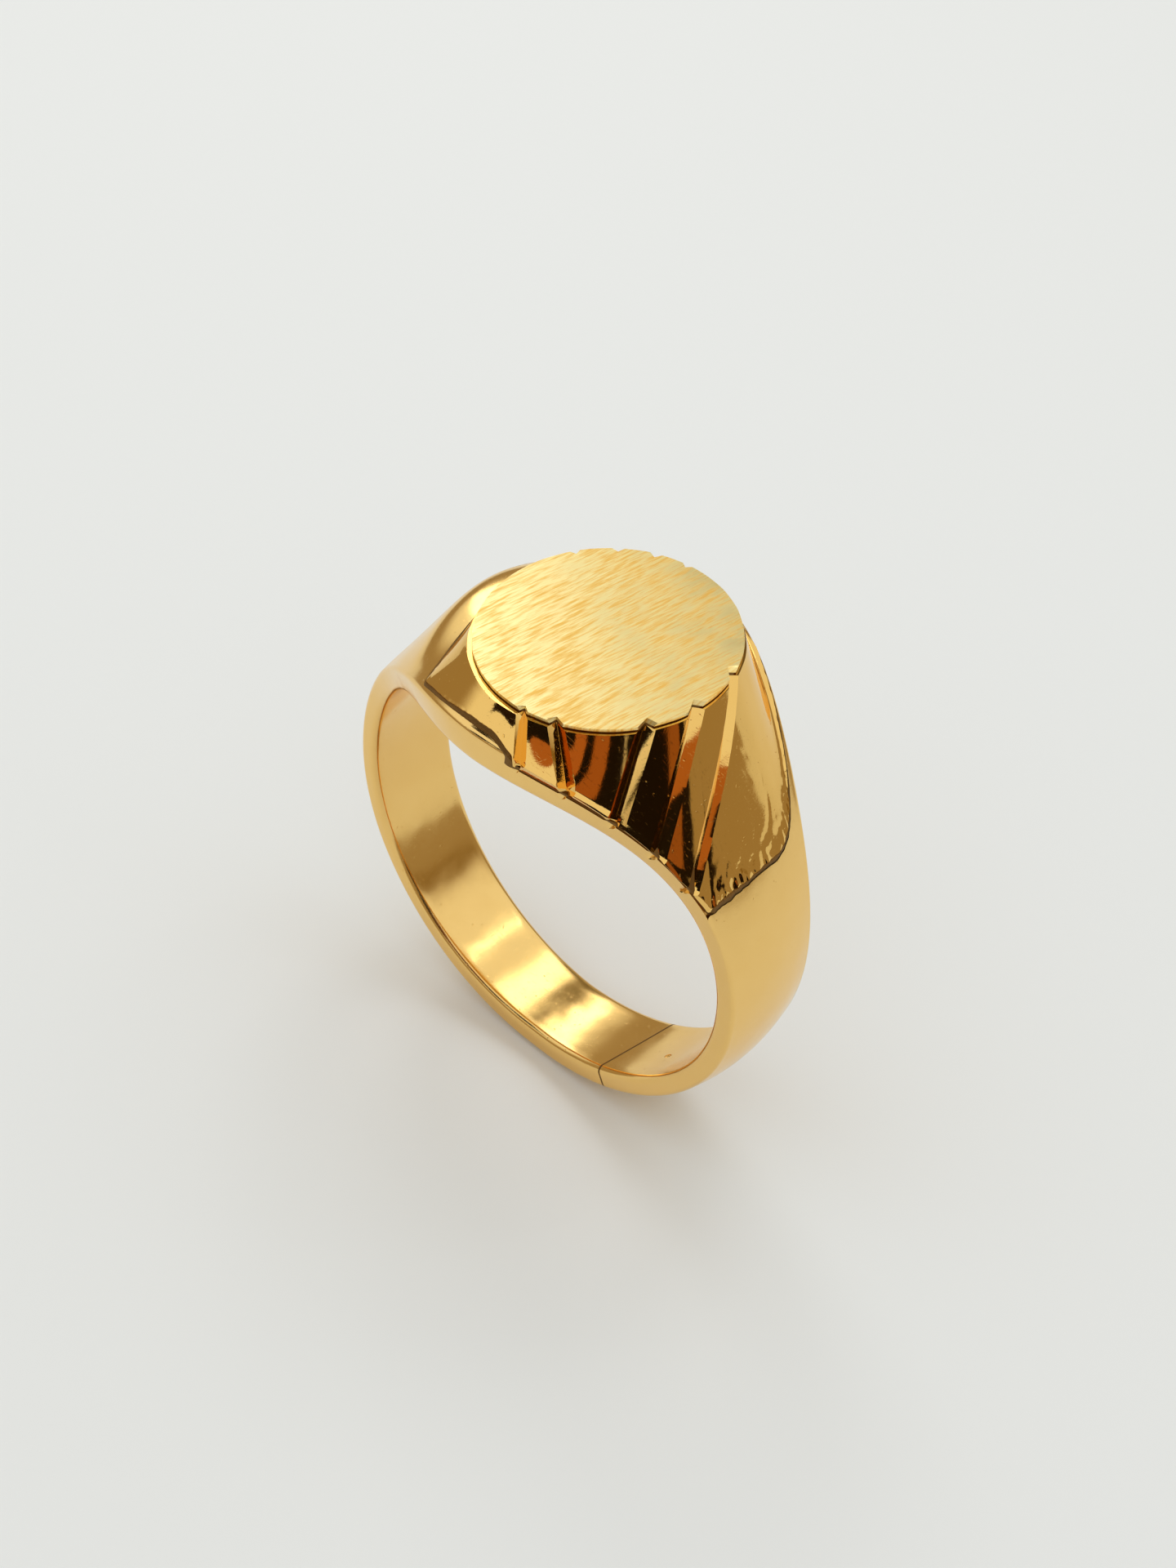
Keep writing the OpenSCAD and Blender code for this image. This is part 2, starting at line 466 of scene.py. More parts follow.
def extruded(name, steps, place, height):
    """A filled circle primitive, each vertex moved to place(its angle), extruded by height."""
    deselect()
    bpy.ops.mesh.primitive_circle_add(vertices=steps, radius=1, fill_type="NGON")
    ob = new_piece(name)
    for v in ob.data.vertices:
        v.co = place(degrees(atan2(v.co.y, v.co.x)))
    only(ob)
    bpy.ops.object.mode_set(mode="EDIT")
    bpy.ops.mesh.select_all(action="SELECT")
    bpy.ops.mesh.extrude_region_move(TRANSFORM_OT_translate={"value": (0, 0, height)})
    bpy.ops.mesh.select_all(action="SELECT")
    bpy.ops.mesh.normals_make_consistent(inside=False)
    bpy.ops.object.mode_set(mode="OBJECT")
    return ob


def loft(name, rings):
    """A closed tool body through rings of equal length, capped at both ends."""
    bm = bmesh.new()
    rows = [[bm.verts.new(p) for p in ring] for ring in rings]
    n = len(rows[0])
    for a, b in zip(rows, rows[1:]):
        for k in range(n):
            bm.faces.new((a[k], a[(k + 1) % n], b[(k + 1) % n], b[k]))
    bm.faces.new(rows[0][::-1])
    bm.faces.new(rows[-1])
    bmesh.ops.recalc_face_normals(bm, faces=bm.faces)
    mesh = bpy.data.meshes.new(name)
    bm.to_mesh(mesh)
    bm.free()
    ob = bpy.data.objects.new(name, mesh)
    bpy.context.collection.objects.link(ob)
    return ob


def cut(ob, tools, operation="DIFFERENCE"):
    """Cuts ob with each tool body, which stays."""
    for tool in tools:
        only(ob)
        mod = ob.modifiers.new("cut", "BOOLEAN")
        mod.operation = operation
        mod.solver = "MANIFOLD"
        mod.object = tool
        bpy.ops.object.modifier_apply(modifier=mod.name)
    if not len(ob.data.polygons):
        raise RuntimeError(f"nothing is left of {ob.name} after a cut")


def discard(*tools):
    for tool in tools:
        mesh = tool.data
        bpy.data.objects.remove(tool)
        bpy.data.meshes.remove(mesh)


def smooth(ob, angle):
    only(ob)
    bpy.ops.object.shade_smooth_by_angle(angle=radians(angle))


def finish_piece(ob, node, material):
    """Brings a piece to real size and ties it to the frame."""
    ob.data.transform(Matrix.Scale(MM, 4))
    ob.data.materials.clear()
    ob.data.materials.append(material)
    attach(ob, BODY)
    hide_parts(node)


# Tool bodies shared by several pieces -----------------------------------------------------

# Table angle, band angle at the foot, width and depth of each groove
FRONT_GROOVES = [(-83, 11, 0.45, 0.24), (-67.5, 21, 0.62, 0.3), (-29, 31.5, 0.72, 0.32),
                 (-5.6, 41.5, 0.72, 0.32), (20.4, 51.5, 0.55, 0.32)]
# Table angle, outline angle at the foot, width and depth of each notch behind the table
BACK_GROOVES = [(98, 96, 0.5, 0.22), (114, 111, 0.5, 0.22), (131, 127, 0.5, 0.2),
                (150, 147, 0.4, 0.18)]
GROOVE_ROWS = 14
# How far a groove cutter stands proud of the wall, and the half width of its floor
GROOVE_RISE = 0.3
GROOVE_FLOOR = 0.05
# Drops below the band's edge and sizes left, at a groove's tip on the band's side
GROOVE_TIP = ((0.15, 0.9), (0.35, 0.85), (0.55, 0.7), (0.7, 0.25))
# How far the head's lip stands out over the band's side
LIP_OUT = 0.1
# Nearest that a wall's direction is taken to its two ends
WALL_ENDS = (0.03, 0.95)


def clear_of_ends(v):
    return max(WALL_ENDS[0], min(WALL_ENDS[1], v))


def groove_section(at, along, out, width, depth):
    """A V with a slightly rounded floor, standing proud of the surface."""
    side = along.cross(out).normalized()
    out = side.cross(along).normalized()
    wide = width / 2 * (1 + GROOVE_RISE / depth)
    floor = GROOVE_FLOOR * width
    return [
        at + out * GROOVE_RISE - side * wide,
        at + out * GROOVE_RISE + side * wide,
        at - out * depth * 0.92 + side * floor,
        at - out * depth,
        at - out * depth * 0.92 - side * floor,
    ]


def groove_path(form, top_f, foot_f):
    """Points down the wall where a flat file, held square to it, cuts from rim to foot."""
    top, foot = form.wall_pt(top_f, 0), form.wall_pt(foot_f, 1)
    out = (form.wall_out(top_f, 0.1) + form.wall_out(foot_f, 0.9)).normalized()
    across = (foot - top).cross(out).normalized()
    path = []
    for j in range(GROOVE_ROWS + 1):
        v = j / GROOVE_ROWS
        low, high = min(top_f, foot_f) - 25, max(top_f, foot_f) + 25
        rising = (form.wall_pt(high, v) - top).dot(across) > 0
        for _ in range(24):
            f = (low + high) / 2
            if ((form.wall_pt(f, v) - top).dot(across) > 0) == rising:
                high = f
            else:
                low = f
        path.append((form.wall_pt(f, v), form.wall_out(f, clear_of_ends(v)), 1.0))
    return path


def groove_tool(form, name, top_f, foot_f, width, depth, foot_a=None):
    """A cutter from above the table's rim down the wall and over the lip to the band's side."""
    stations = groove_path(form, top_f, foot_f)
    first, out, _ = stations[0]
    stations.insert(0, (first * 2 - stations[1][0], out, 1.0))
    if foot_a is not None:
        y = -form.half_w(foot_a) - LIP_OUT
        edge_r = form.band_r(foot_a, 1)
        for drop, keep in GROOVE_TIP:
            stations.append((around(edge_r - drop, foot_a, y), Vector((0, -1, 0)), keep))
    else:
        last, out, _ = stations[-1]
        stations.append((last * 2 - stations[-2][0], out, 0.5))
    rings = []
    for i, (at, out, keep) in enumerate(stations):
        before = stations[max(0, i - 1)][0]
        after = stations[min(len(stations) - 1, i + 1)][0]
        rings.append(groove_section(at, after - before, out, width * keep, depth * keep))
    return loft(name, rings)


def front_tools(form):
    return [groove_tool(form, f"front_cut_{i}", top, form.foot_angle(foot), width, depth, foot)
            for i, (top, foot, width, depth) in enumerate(FRONT_GROOVES)]


def back_tools(form):
    return [groove_tool(form, f"back_cut_{i}", *groove) for i, groove in enumerate(BACK_GROOVES)]


def cut_grooves(form, ob):
    tools = front_tools(form) + back_tools(form)
    cut(ob, tools)
    discard(*tools)


OUTLINE_STEPS = 720


def pocket_tool(form):
    """Everything over the seat inside the head's outline, widened by the solder's thickness."""
    angles = form.outline(OUTLINE_STEPS)

    def place(turn):
        f = angles[round(turn * OUTLINE_STEPS / 360) % OUTLINE_STEPS]
        p = form.seam_pt(f)
        return Vector((p.x, p.y - 0.5 * form.lip(f), 0))

    ob = extruded("pocket_cut", OUTLINE_STEPS, place, 2 * form.table_h)
    seat = finger_tool(form, "seat_core", form.seat_r)
    cut(ob, [seat])
    discard(seat)
    return ob


def finger_tool(form, name, r):
    deselect()
    bpy.ops.mesh.primitive_cylinder_add(
        vertices=360, radius=r, depth=2 * form.head_w, rotation=(pi / 2, 0, 0))
    ob = new_piece(name)
    bpy.ops.object.transform_apply(location=True, rotation=True, scale=True)
    return ob


# The sizing seam's place, from the palm, and its turn from square across the band, in degrees
SEAM_ANGLE = 27
SEAM_SKEW = 14


def seam_tool(form, thickness):
    """The slot of the sizing seam, skewed across the palm."""
    deselect()
    bpy.ops.mesh.primitive_cube_add(size=1)
    ob = new_piece("seam_cut")
    shape = Matrix.Diagonal((thickness, form.head_w, form.finger_r, 1))
    lift = Matrix.Translation((0, 0, form.finger_r))
    skew = Matrix.Rotation(radians(SEAM_SKEW), 4, "Z")
    turn = Matrix.Rotation(radians(180 - SEAM_ANGLE), 4, "Y")
    ob.data.transform(turn @ skew @ lift @ shape)
    return ob


# A porosity pit beside the seam: degrees round the band, place along the finger, half sizes
PIT_ANGLE = 138.7
PIT_Y = -0.38
PIT_SIZE = (0.20, 0.13, 0.12)


def pit_tool(form):
    """A small lens that sinks a pit into the inside of the band."""
    deselect()
    bpy.ops.mesh.primitive_uv_sphere_add(segments=20, ring_count=10, radius=1)
    ob = new_piece("pit_cut")
    place = Matrix.Translation(around(form.finger_r, PIT_ANGLE, PIT_Y))
    turn = Matrix.Rotation(radians(PIT_ANGLE), 4, "Y")
    ob.data.transform(place @ turn @ Matrix.Diagonal((*PIT_SIZE, 1)))
    return ob


# Pieces -----------------------------------------------------------------------------------

BAND_STEPS = 256
# Radii of the band's rounded edges, and the most of its thickness that each may take
INNER_ROUND = 0.3
OUTER_ROUND = 0.2
ROUND_LIMIT = 0.45
# Points along a section's inside, outside, sides and rounded edges
INNER_STEPS = 14
OUTER_STEPS = 28
SIDE_STEPS = 3
ROUND_STEPS = 6


def straight(start, end, steps):
    """Evenly spaced points from start up to, but not including, end."""
    return [(mix(start[0], end[0], k / steps), mix(start[1], end[1], k / steps))
            for k in range(steps)]


def quarter(centre, radius, start):
    """Points of a quarter circle that starts at an angle in degrees."""
    turns = [radians(start + 90 * k / ROUND_STEPS) for k in range(ROUND_STEPS)]
    return [(centre[0] + radius * cos(t), centre[1] + radius * sin(t)) for t in turns]


def band_section(form, a):
    """One closed section of the band: along the inside to the back, and back over the outside."""
    w, r_in, edge, crown = form.half_w(a), form.finger_r, form.edge_t(a), form.crown(a)
    r_edge = r_in + edge
    ri = min(INNER_ROUND, edge * ROUND_LIMIT)
    ro = min(OUTER_ROUND, edge * ROUND_LIMIT)
    points = straight((ri - w, r_in), (w - ri, r_in), INNER_STEPS)
    points += quarter((w - ri, r_in + ri), ri, -90)
    points += straight((w, r_in + ri), (w, r_edge - ro), SIDE_STEPS)
    points += quarter((w - ro, r_edge - ro), ro, 0)
    points += [(y, r_edge + crown * (1 - (y / (w - ro)) ** 2))
               for y, _ in straight((w - ro, 0), (ro - w, 0), OUTER_STEPS)]
    points += quarter((ro - w, r_edge - ro), ro, 90)
    points += straight((-w, r_edge - ro), (-w, r_in + ri), SIDE_STEPS)
    points += quarter((ri - w, r_in + ri), ri, 180)
    return [around(r, a, y) for y, r in points]


def band_rings(form):
    return [band_section(form, 360 * i / BAND_STEPS - 180) for i in range(BAND_STEPS)]


class RING_OT_band(bpy.types.Operator):
    """Models the tapering band, with the seat, the groove tips, the seam slot and the pit cut in."""

    bl_idname = "ring.band"
    bl_label = "Band"

    def execute(self, context):
        form = form_now()
        ob = reshape_torus("band", band_rings(form))
        tools = [pocket_tool(form), seam_tool(form, form.solder_t), pit_tool(form)]
        tools += front_tools(form)
        cut(ob, tools)
        discard(*tools)
        smooth(ob, 32)
        gold = gold_material("polished_band", context.scene.ring_finish.band, BAND_WEAR)
        finish_piece(ob, "shank", gold)
        return {"FINISHED"}


class RING_OT_palm_seam(bpy.types.Operator):
    """Models the thin sheet of solder that closes the band at the palm."""

    bl_idname = "ring.palm_seam"
    bl_label = "Palm seam"

    def execute(self, context):
        form = form_now()
        ob = reshape_torus("palm_seam", band_rings(form))
        slot = seam_tool(form, form.solder_t)
        cut(ob, [slot], "INTERSECT")
        discard(slot)
        smooth(ob, 32)
        finish_piece(ob, "shank_solder", solder_material())
        return {"FINISHED"}


WALL_ROWS = 44
# Crowds the rows towards the foot, where the file marks are
ROW_CROWDING = 1.25
# Sizes of the rings that close the top, and those that close a saddle under the head
TOP_KEEPS = (0.35, 0.7, 0.93)
SADDLE_KEEPS = (0.85, 0.65, 0.45, 0.25, 0.1)


def shrunk(form, ring, r, keeps):
    """Copies of a ring drawn in towards the middle, on the saddle of radius r."""
    return [[Vector((p.x * k, p.y * k, form.saddle_z(p.x * k, r))) for p in ring] for k in keeps]


def head_rings(form, z_top):
    """Rings of the head block, from its top down the wall, over the lip and under."""
    angles = form.outline(OUTLINE_STEPS)
    rings = []
    start = {f: (form.table_h - z_top) / (form.table_h - form.foot_pt(f).z) for f in angles}
    centre = Vector((form.table_at.x, form.table_at.y, z_top))
    for keep in TOP_KEEPS:
        rings.append([centre.lerp(form.wall_pt(f, start[f]), keep) for f in angles])
    for j in range(WALL_ROWS + 1):
        v = 1 - (1 - j / WALL_ROWS) ** ROW_CROWDING
        ring = []
        for f in angles:
            p = form.wall_pt(f, mix(start[f], 1, v)) + wall_marks(form, f, v)
            p = p + form.outward(f) * form.ragged(f) * ease((v - 0.9) / 0.1)
            p.y -= LIP_OUT * form.lip(f) * ease((v - 0.93) / 0.05)
            ring.append(p)
        rings.append(ring)
    edge = rings[-1]
    under = []
    for f, p in zip(angles, edge):
        lip = form.lip(f)
        a = form.reach_a(f)
        ledge = around(form.block_r, a, -form.half_w(a) + 0.03)
        plain = Vector((p.x, p.y, form.saddle_z(p.x, form.block_r)))
        under.append(plain.lerp(ledge, lip))
    rings.append([p.lerp(q, 0.12) + Vector((0, -0.012, 0)) * form.lip(f)
                  for f, p, q in zip(angles, edge, under)])
    rings.append([p.lerp(q, 0.55) for p, q in zip(edge, under)])
    rings.append(under)
    return rings + shrunk(form, under, form.block_r, SADDLE_KEEPS), centre


# Short burin strokes on the right wall: place along the finger, height, slant, length, depth
STROKES = [
    (-1.9, 6.6, 0.7, 1.1, 0.012), (-1.4, 6.9, 0.9, 0.9, 0.010), (-1.0, 6.5, 0.6, 1.2, 0.014),
    (-0.5, 7.0, 0.8, 0.8, 0.010), (-0.1, 6.6, 0.5, 1.0, 0.014), (0.3, 7.2, 0.9, 0.9, 0.010),
    (0.7, 6.9, 0.6, 1.0, 0.012), (1.2, 7.3, 1.0, 0.8, 0.010), (1.5, 7.8, 1.2, 0.9, 0.012),
    (1.6, 8.6, 1.3, 0.8, 0.008), (0.6, 8.3, 1.9, 0.5, 0.008), (0.9, 9.2, 2.0, 0.6, 0.007),
    (1.2, 9.8, 2.1, 0.5, 0.007), (-1.2, 7.6, 0.3, 0.7, 0.007), (-1.6, 7.3, 0.4, 0.8, 0.009),
]
STROKE_W = 0.06


def wall_marks(form, f, v):
    """Gentle hand-worked waves over the wall and rougher file marks at the right foot."""
    at = form.wall_pt(f, v)
    wave = 0.012 * noise.noise(at * 0.45) * ease(v / 0.2) * ease((1 - v) / 0.1)
    right = ease((at.x - 6) / 1.5) * ease((at.y + 3.2) / 0.8)
    foot = right * ease((v - 0.8) / 0.15)
    rough = foot * (0.018 * noise.noise(at * 2.2) + 0.010 * noise.noise(at * 6))
    strokes = 0.0
    if at.x > 5 and at.y > -3:
        for y0, z0, slant, length, depth in STROKES:
            y, z = at.y - y0, at.z - z0
            along = y * cos(slant) + z * sin(slant)
            across = -y * sin(slant) + z * cos(slant)
            strokes -= depth * bell(across, STROKE_W) * bell(along, length / 2)
    return form.wall_out(f, clear_of_ends(v)) * (wave + rough + strokes)


class RING_OT_head(bpy.types.Operator):
    """Models the head block, its walls, lip, file marks and grooves."""

    bl_idname = "ring.head"
    bl_label = "Head block"

    def execute(self, context):
        form = form_now()
        rings, top = head_rings(form, form.block_z)
        bottom = Vector((0, 0, form.block_r))
        ob = reshape_sphere("head_block_gold", rings, top, bottom)
        cut_grooves(form, ob)
        smooth(ob, 28)
        gold = gold_material("polished_head", context.scene.ring_finish.head, HEAD_WEAR)
        finish_piece(ob, "head_block", gold)
        return {"FINISHED"}


# How far the solder line lies below the gold beside it
SEAM_SINK = 0.05


class RING_OT_head_seam(bpy.types.Operator):
    """Models the solder under and round the head block, a little below the gold."""

    bl_idname = "ring.head_seam"
    bl_label = "Head seam"

    def execute(self, context):
        form = form_now()
        angles = form.outline(OUTLINE_STEPS)
        inside, outside, low_in, low_out = [], [], [], []
        for f in angles:
            a, lip = form.reach_a(f), form.lip(f)
            sink = around(SEAM_SINK, a, 0)
            p = form.foot_pt(f) + form.outward(f) * form.ragged(f)
            q = form.seam_pt(f)
            ledge_y = -form.half_w(a) + SEAM_SINK
            ledge_in = around(form.block_r, a, ledge_y)
            ledge_out = around(form.seat_r, a, ledge_y)
            in_low = Vector((p.x, p.y, form.saddle_z(p.x, form.block_r))).lerp(ledge_in, lip)
            out_low = Vector((q.x, q.y, form.saddle_z(q.x, form.seat_r))).lerp(ledge_out, lip)
            inside.append((p - sink).lerp(ledge_in, lip))
            outside.append((q - sink).lerp(ledge_out + (ledge_in - ledge_out) * 0.5, lip))
            low_in.append(in_low)
            low_out.append(out_low)
        rings = shrunk(form, low_in, form.block_r, SADDLE_KEEPS[::-1])
        rings += [low_in, inside, outside, low_out]
        rings += shrunk(form, low_out, form.seat_r, SADDLE_KEEPS)
        top, bottom = Vector((0, 0, form.block_r)), Vector((0, 0, form.seat_r))
        ob = reshape_sphere("head_seam", rings, top, bottom)
        smooth(ob, 40)
        finish_piece(ob, "head_solder", solder_material())
        return {"FINISHED"}


RIM_STEPS = 360
# Rounding of the table's rim, and how far in the solder film's edge lies, as a part of the plate
RIM_ROUND = 0.06
FILM_INSET = 0.985


class RING_OT_table(bpy.types.Operator):
    """Models the brushed table plate, with a softened rim and the groove notches."""

    bl_idname = "ring.table"
    bl_label = "Table plate"

    def execute(self, context):
        form = form_now()
        thickness = form.table_h - form.plate_z
        ob = extruded("table_gold_plate", RIM_STEPS, form.table_pt, -thickness)
        bpy.ops.object.mode_set(mode="EDIT")
        bm = bmesh.from_edit_mesh(ob.data)
        for edge in bm.edges:
            edge.select = all(v.co.z > form.table_h - 0.01 for v in edge.verts)
        bm.select_flush(True)
        bmesh.update_edit_mesh(ob.data)
        bpy.ops.mesh.bevel(offset=RIM_ROUND, segments=4, affect="EDGES")
        bpy.ops.object.mode_set(mode="OBJECT")
        cut_grooves(form, ob)
        smooth(ob, 35)
        finish_piece(ob, "table_plate", table_material())
        return {"FINISHED"}


class RING_OT_table_seam(bpy.types.Operator):
    """Models the film of solder between the table plate and the head block."""

    bl_idname = "ring.table_seam"
    bl_label = "Table seam"

    def execute(self, context):
        form = form_now()

        def place(f):
            p = form.table_at.lerp(form.table_pt(f), FILM_INSET)
            return Vector((p.x, p.y, form.plate_z))

        ob = extruded("table_seam", RIM_STEPS, place, form.block_z - form.plate_z)
        cut_grooves(form, ob)
        smooth(ob, 35)
        finish_piece(ob, "table_solder", solder_material())
        return {"FINISHED"}


# Materials --------------------------------------------------------------------------------


def link(tree, out, into):
    tree.links.new(out, into)


def node(tree, kind, **values):
    """A shader node with its settings and the values of its unlinked sockets."""
    made = tree.nodes.new(kind)
    for key, value in values.items():
        if key in made.inputs:
            made.inputs[key].default_value = value
        else:
            setattr(made, key, value)
    return made


def math_node(tree, operation, a, b):
    made = tree.nodes.new("ShaderNodeMath")
    made.operation = operation
    for socket, value in zip(made.inputs, (a, b)):
        if isinstance(value, (int, float)):
            socket.default_value = value
        else:
            link(tree, value, socket)
    return made.outputs[0]


def weighted(tree, *terms):
    """The sum of some values, each times its weight."""
    total = 0.0
    for value, weight in terms:
        total = math_node(tree, "ADD", total, math_node(tree, "MULTIPLY", value, weight))
    return total


def ramp(tree, value, low, high):
    """0 below low, 1 above high, and smooth between."""
    made = tree.nodes.new("ShaderNodeMapRange")
    made.interpolation_type = "SMOOTHSTEP"
    made.inputs["From Min"].default_value = low
    made.inputs["From Max"].default_value = high
    link(tree, value, made.inputs["Value"])
    return made.outputs["Result"]


def stretched(tree, where, turn, size, detail=3.0):
    """Noise whose marks have the given length, width and depth in metres, along a turned axis."""
    mapping = node(tree, "ShaderNodeMapping", vector_type="TEXTURE")
    mapping.inputs["Rotation"].default_value = turn
    mapping.inputs["Scale"].default_value = size
    link(tree, where, mapping.inputs["Vector"])
    made = node(tree, "ShaderNodeTexNoise", Scale=1.0, Detail=detail, Roughness=0.6)
    link(tree, mapping.outputs["Vector"], made.inputs["Vector"])
    return made.outputs["Fac"]


# Length, width and depth in metres of the scratches that run each way
HAIR_A = (0.0014, 0.00005, 0.00012)
HAIR_B = (0.0013, 0.00005, 0.00012)


def even(size):
    """A mark of the same size every way."""
    return size, size, size


def wear_group():
    """Cloudy polish, hairline scratches, small pits and hand-worked waves of worn gold."""
    name = "worn_gold"
    if name in bpy.data.node_groups:
        return bpy.data.node_groups[name]
    group = bpy.data.node_groups.new(name, "ShaderNodeTree")
    face = group.interface
    face.new_socket("Where", in_out="INPUT", socket_type="NodeSocketVector")
    for label, value in (("Scratches", 0.5), ("Polish", 0.12), ("Haze", 0.08), ("Waves", 0.0)):
        socket = face.new_socket(label, in_out="INPUT", socket_type="NodeSocketFloat")
        socket.default_value = value
    for label in ("Shade", "Roughness", "Height"):
        face.new_socket(label, in_out="OUTPUT", socket_type="NodeSocketFloat")
    given = group.nodes.new("NodeGroupInput")
    result = group.nodes.new("NodeGroupOutput")
    where = given.outputs["Where"]
    still = (0, 0, 0)
    clouds = stretched(group, where, still, even(0.0011), 4)
    grain = stretched(group, where, still, even(0.00006), 2)
    waves = stretched(group, where, still, even(0.0017), 1)
    pits = ramp(group, stretched(group, where, still, even(0.0002), 1), 0.73, 0.78)
    hair_a = ramp(group, stretched(group, where, (0.3, 0.5, 0.2), HAIR_A), 0.63, 0.72)
    hair_b = ramp(group, stretched(group, where, (1.1, -0.4, 0.9), HAIR_B), 0.65, 0.74)
    hairs = math_node(group, "ADD", hair_a, hair_b)
    worn = math_node(group, "MULTIPLY", hairs, given.outputs["Scratches"])
    rough = weighted(
        group, (given.outputs["Polish"], 1), (clouds, given.outputs["Haze"]), (worn, 0.12))
    height = weighted(
        group, (grain, 0.25), (worn, -1), (pits, -1.5), (waves, given.outputs["Waves"]))
    shade = weighted(group, (clouds, 0.5), (pits, 0.8))
    link(group, shade, result.inputs["Shade"])
    link(group, rough, result.inputs["Roughness"])
    link(group, height, result.inputs["Height"])
    return group


def shader(name):
    """A material with its Principled shader, ready for links."""
    made = bpy.data.materials.new(name)
    made.use_nodes = True
    tree = made.node_tree
    surface = tree.nodes["Principled BSDF"]
    surface.inputs["Metallic"].default_value = 1.0
    where = tree.nodes.new("ShaderNodeTexCoord").outputs["Object"]
    return made, tree, surface, where


def tinted(tree, light, dark, factor):
    made = tree.nodes.new("ShaderNodeMix")
    made.data_type = "RGBA"
    made.inputs["A"].default_value = (*light, 1)
    made.inputs["B"].default_value = (*dark, 1)
    link(tree, factor, made.inputs["Factor"])
    return made.outputs["Result"]


def relief(tree, surface, height, strength, distance):
    """Raises the surface by a height, over a distance in metres."""
    bump = node(tree, "ShaderNodeBump", Strength=strength, Distance=distance)
    link(tree, height, bump.inputs["Height"])
    link(tree, bump.outputs["Normal"], surface.inputs["Normal"])


def worn_material(name, light, dark, wear_values, strength, distance):
    """A metal whose shade, gloss and relief come from the shared wear."""
    made, tree, surface, where = shader(name)
    wear = tree.nodes.new("ShaderNodeGroup")
    wear.node_tree = wear_group()
    link(tree, where, wear.inputs["Where"])
    for label, value in wear_values.items():
        wear.inputs[label].default_value = value
    link(tree, tinted(tree, light, dark, wear.outputs["Shade"]), surface.inputs["Base Color"])
    link(tree, wear.outputs["Roughness"], surface.inputs["Roughness"])
    relief(tree, surface, wear.outputs["Height"], strength, distance)
    return made


# The band is a little softer in polish, and the head's walls are the glossiest
BAND_WEAR = {"Scratches": 0.3, "Polish": 0.10, "Haze": 0.13, "Waves": 11}
HEAD_WEAR = {"Scratches": 0.2, "Polish": 0.03, "Haze": 0.05, "Waves": 5}
SOLDER_WEAR = {"Polish": 0.42, "Haze": 0.3}


def gold_material(name, colour, wear_values):
    """Polished yellow gold."""
    deep = tuple(c * k for c, k in zip(colour, (0.95, 0.88, 0.72)))
    return worn_material(name, tuple(colour), deep, wear_values, 0.25, 0.00001)


# Direction of the brushing on the table, from +X, in degrees
BRUSH_TURN = 81


def table_material():
    """Matte gold with fine strokes along the finger. Its colour is a painted highlight: paler than the
    band's gold, with real brushed strokes that run between this pale painted sheen and a deep gold.
    """
    colour = tuple(bpy.context.scene.ring_finish.table)
    made, tree, surface, where = shader("brushed_table")
    turn = radians(BRUSH_TURN)
    fine = stretched(tree, where, (0, 0, turn), (0.0011, 0.00008, 0.001), 5)
    broad = stretched(tree, where, (0, 0, turn + 0.09), (0.0014, 0.00019, 0.001), 3)
    clouds = stretched(tree, where, (0, 0, 0), (0.0024, 0.0024, 0.0024), 2)
    strokes = weighted(tree, (fine, 0.5), (broad, 0.35), (clouds, 0.15))
    mask = ramp(tree, strokes, 0.43, 0.61)
    # The deep strokes darken the painted highlight towards a deeper gold, a painted sheen that follows
    # the real brushing
    deep = tuple(c * k for c, k in zip(colour, (0.88, 0.64, 0.30)))
    link(tree, tinted(tree, colour, deep, mask), surface.inputs["Base Color"])
    rough = math_node(tree, "ADD", weighted(tree, (clouds, 0.16), (mask, 0.12)), 0.25)
    link(tree, rough, surface.inputs["Roughness"])
    relief(tree, surface, strokes, 0.5, 0.00002)
    return made


def solder_material():
    """Dark, slightly pitted solder."""
    name = "tarnished_solder"
    if name in bpy.data.materials:
        return bpy.data.materials[name]
    colour = tuple(bpy.context.scene.ring_finish.solder)
    bright = tuple(min(1.0, c * 2.4) for c in colour)
    return worn_material(name, colour, bright, SOLDER_WEAR, 0.8, 0.00003)


def floor_material():
    made = bpy.data.materials.new("studio_floor")
    made.use_nodes = True
    surface = made.node_tree.nodes["Principled BSDF"]
    surface.inputs["Base Color"].default_value = (*bpy.context.scene.ring_finish.floor, 1)
    surface.inputs["Roughness"].default_value = 0.7
    return made


# Studio -----------------------------------------------------------------------------------


# Name, place in metres, size and power of each soft light
LIGHTS = [
    ("key", (-0.125, 0.085, 0.135), (0.06, 0.06), 0.027),
    ("back_right", (0.10, 0.165, 0.27), (0.022, 0.06), 0.0085),
    ("back_left", (-0.05, 0.165, 0.28), (0.09, 0.09), 0.046),
]
# Name, place in metres, size, colour and strength of the warm round reflectors before the ring
ROUND_CARDS = [
    ("warm_a", (0.022, -0.059, 0.075), (0.030, 0.020), (0.85, 0.30, 0.08), 0.50),
    ("warm_b", (0.041, -0.063, 0.061), (0.016, 0.024), (0.85, 0.28, 0.07), 0.50),
    ("warm_c", (0.059, -0.050, 0.059), (0.015, 0.024), (0.80, 0.26, 0.06), 0.45),
    ("warm_d", (0.086, 0.008, 0.033), (0.016, 0.020), (0.85, 0.30, 0.08), 0.35),
]
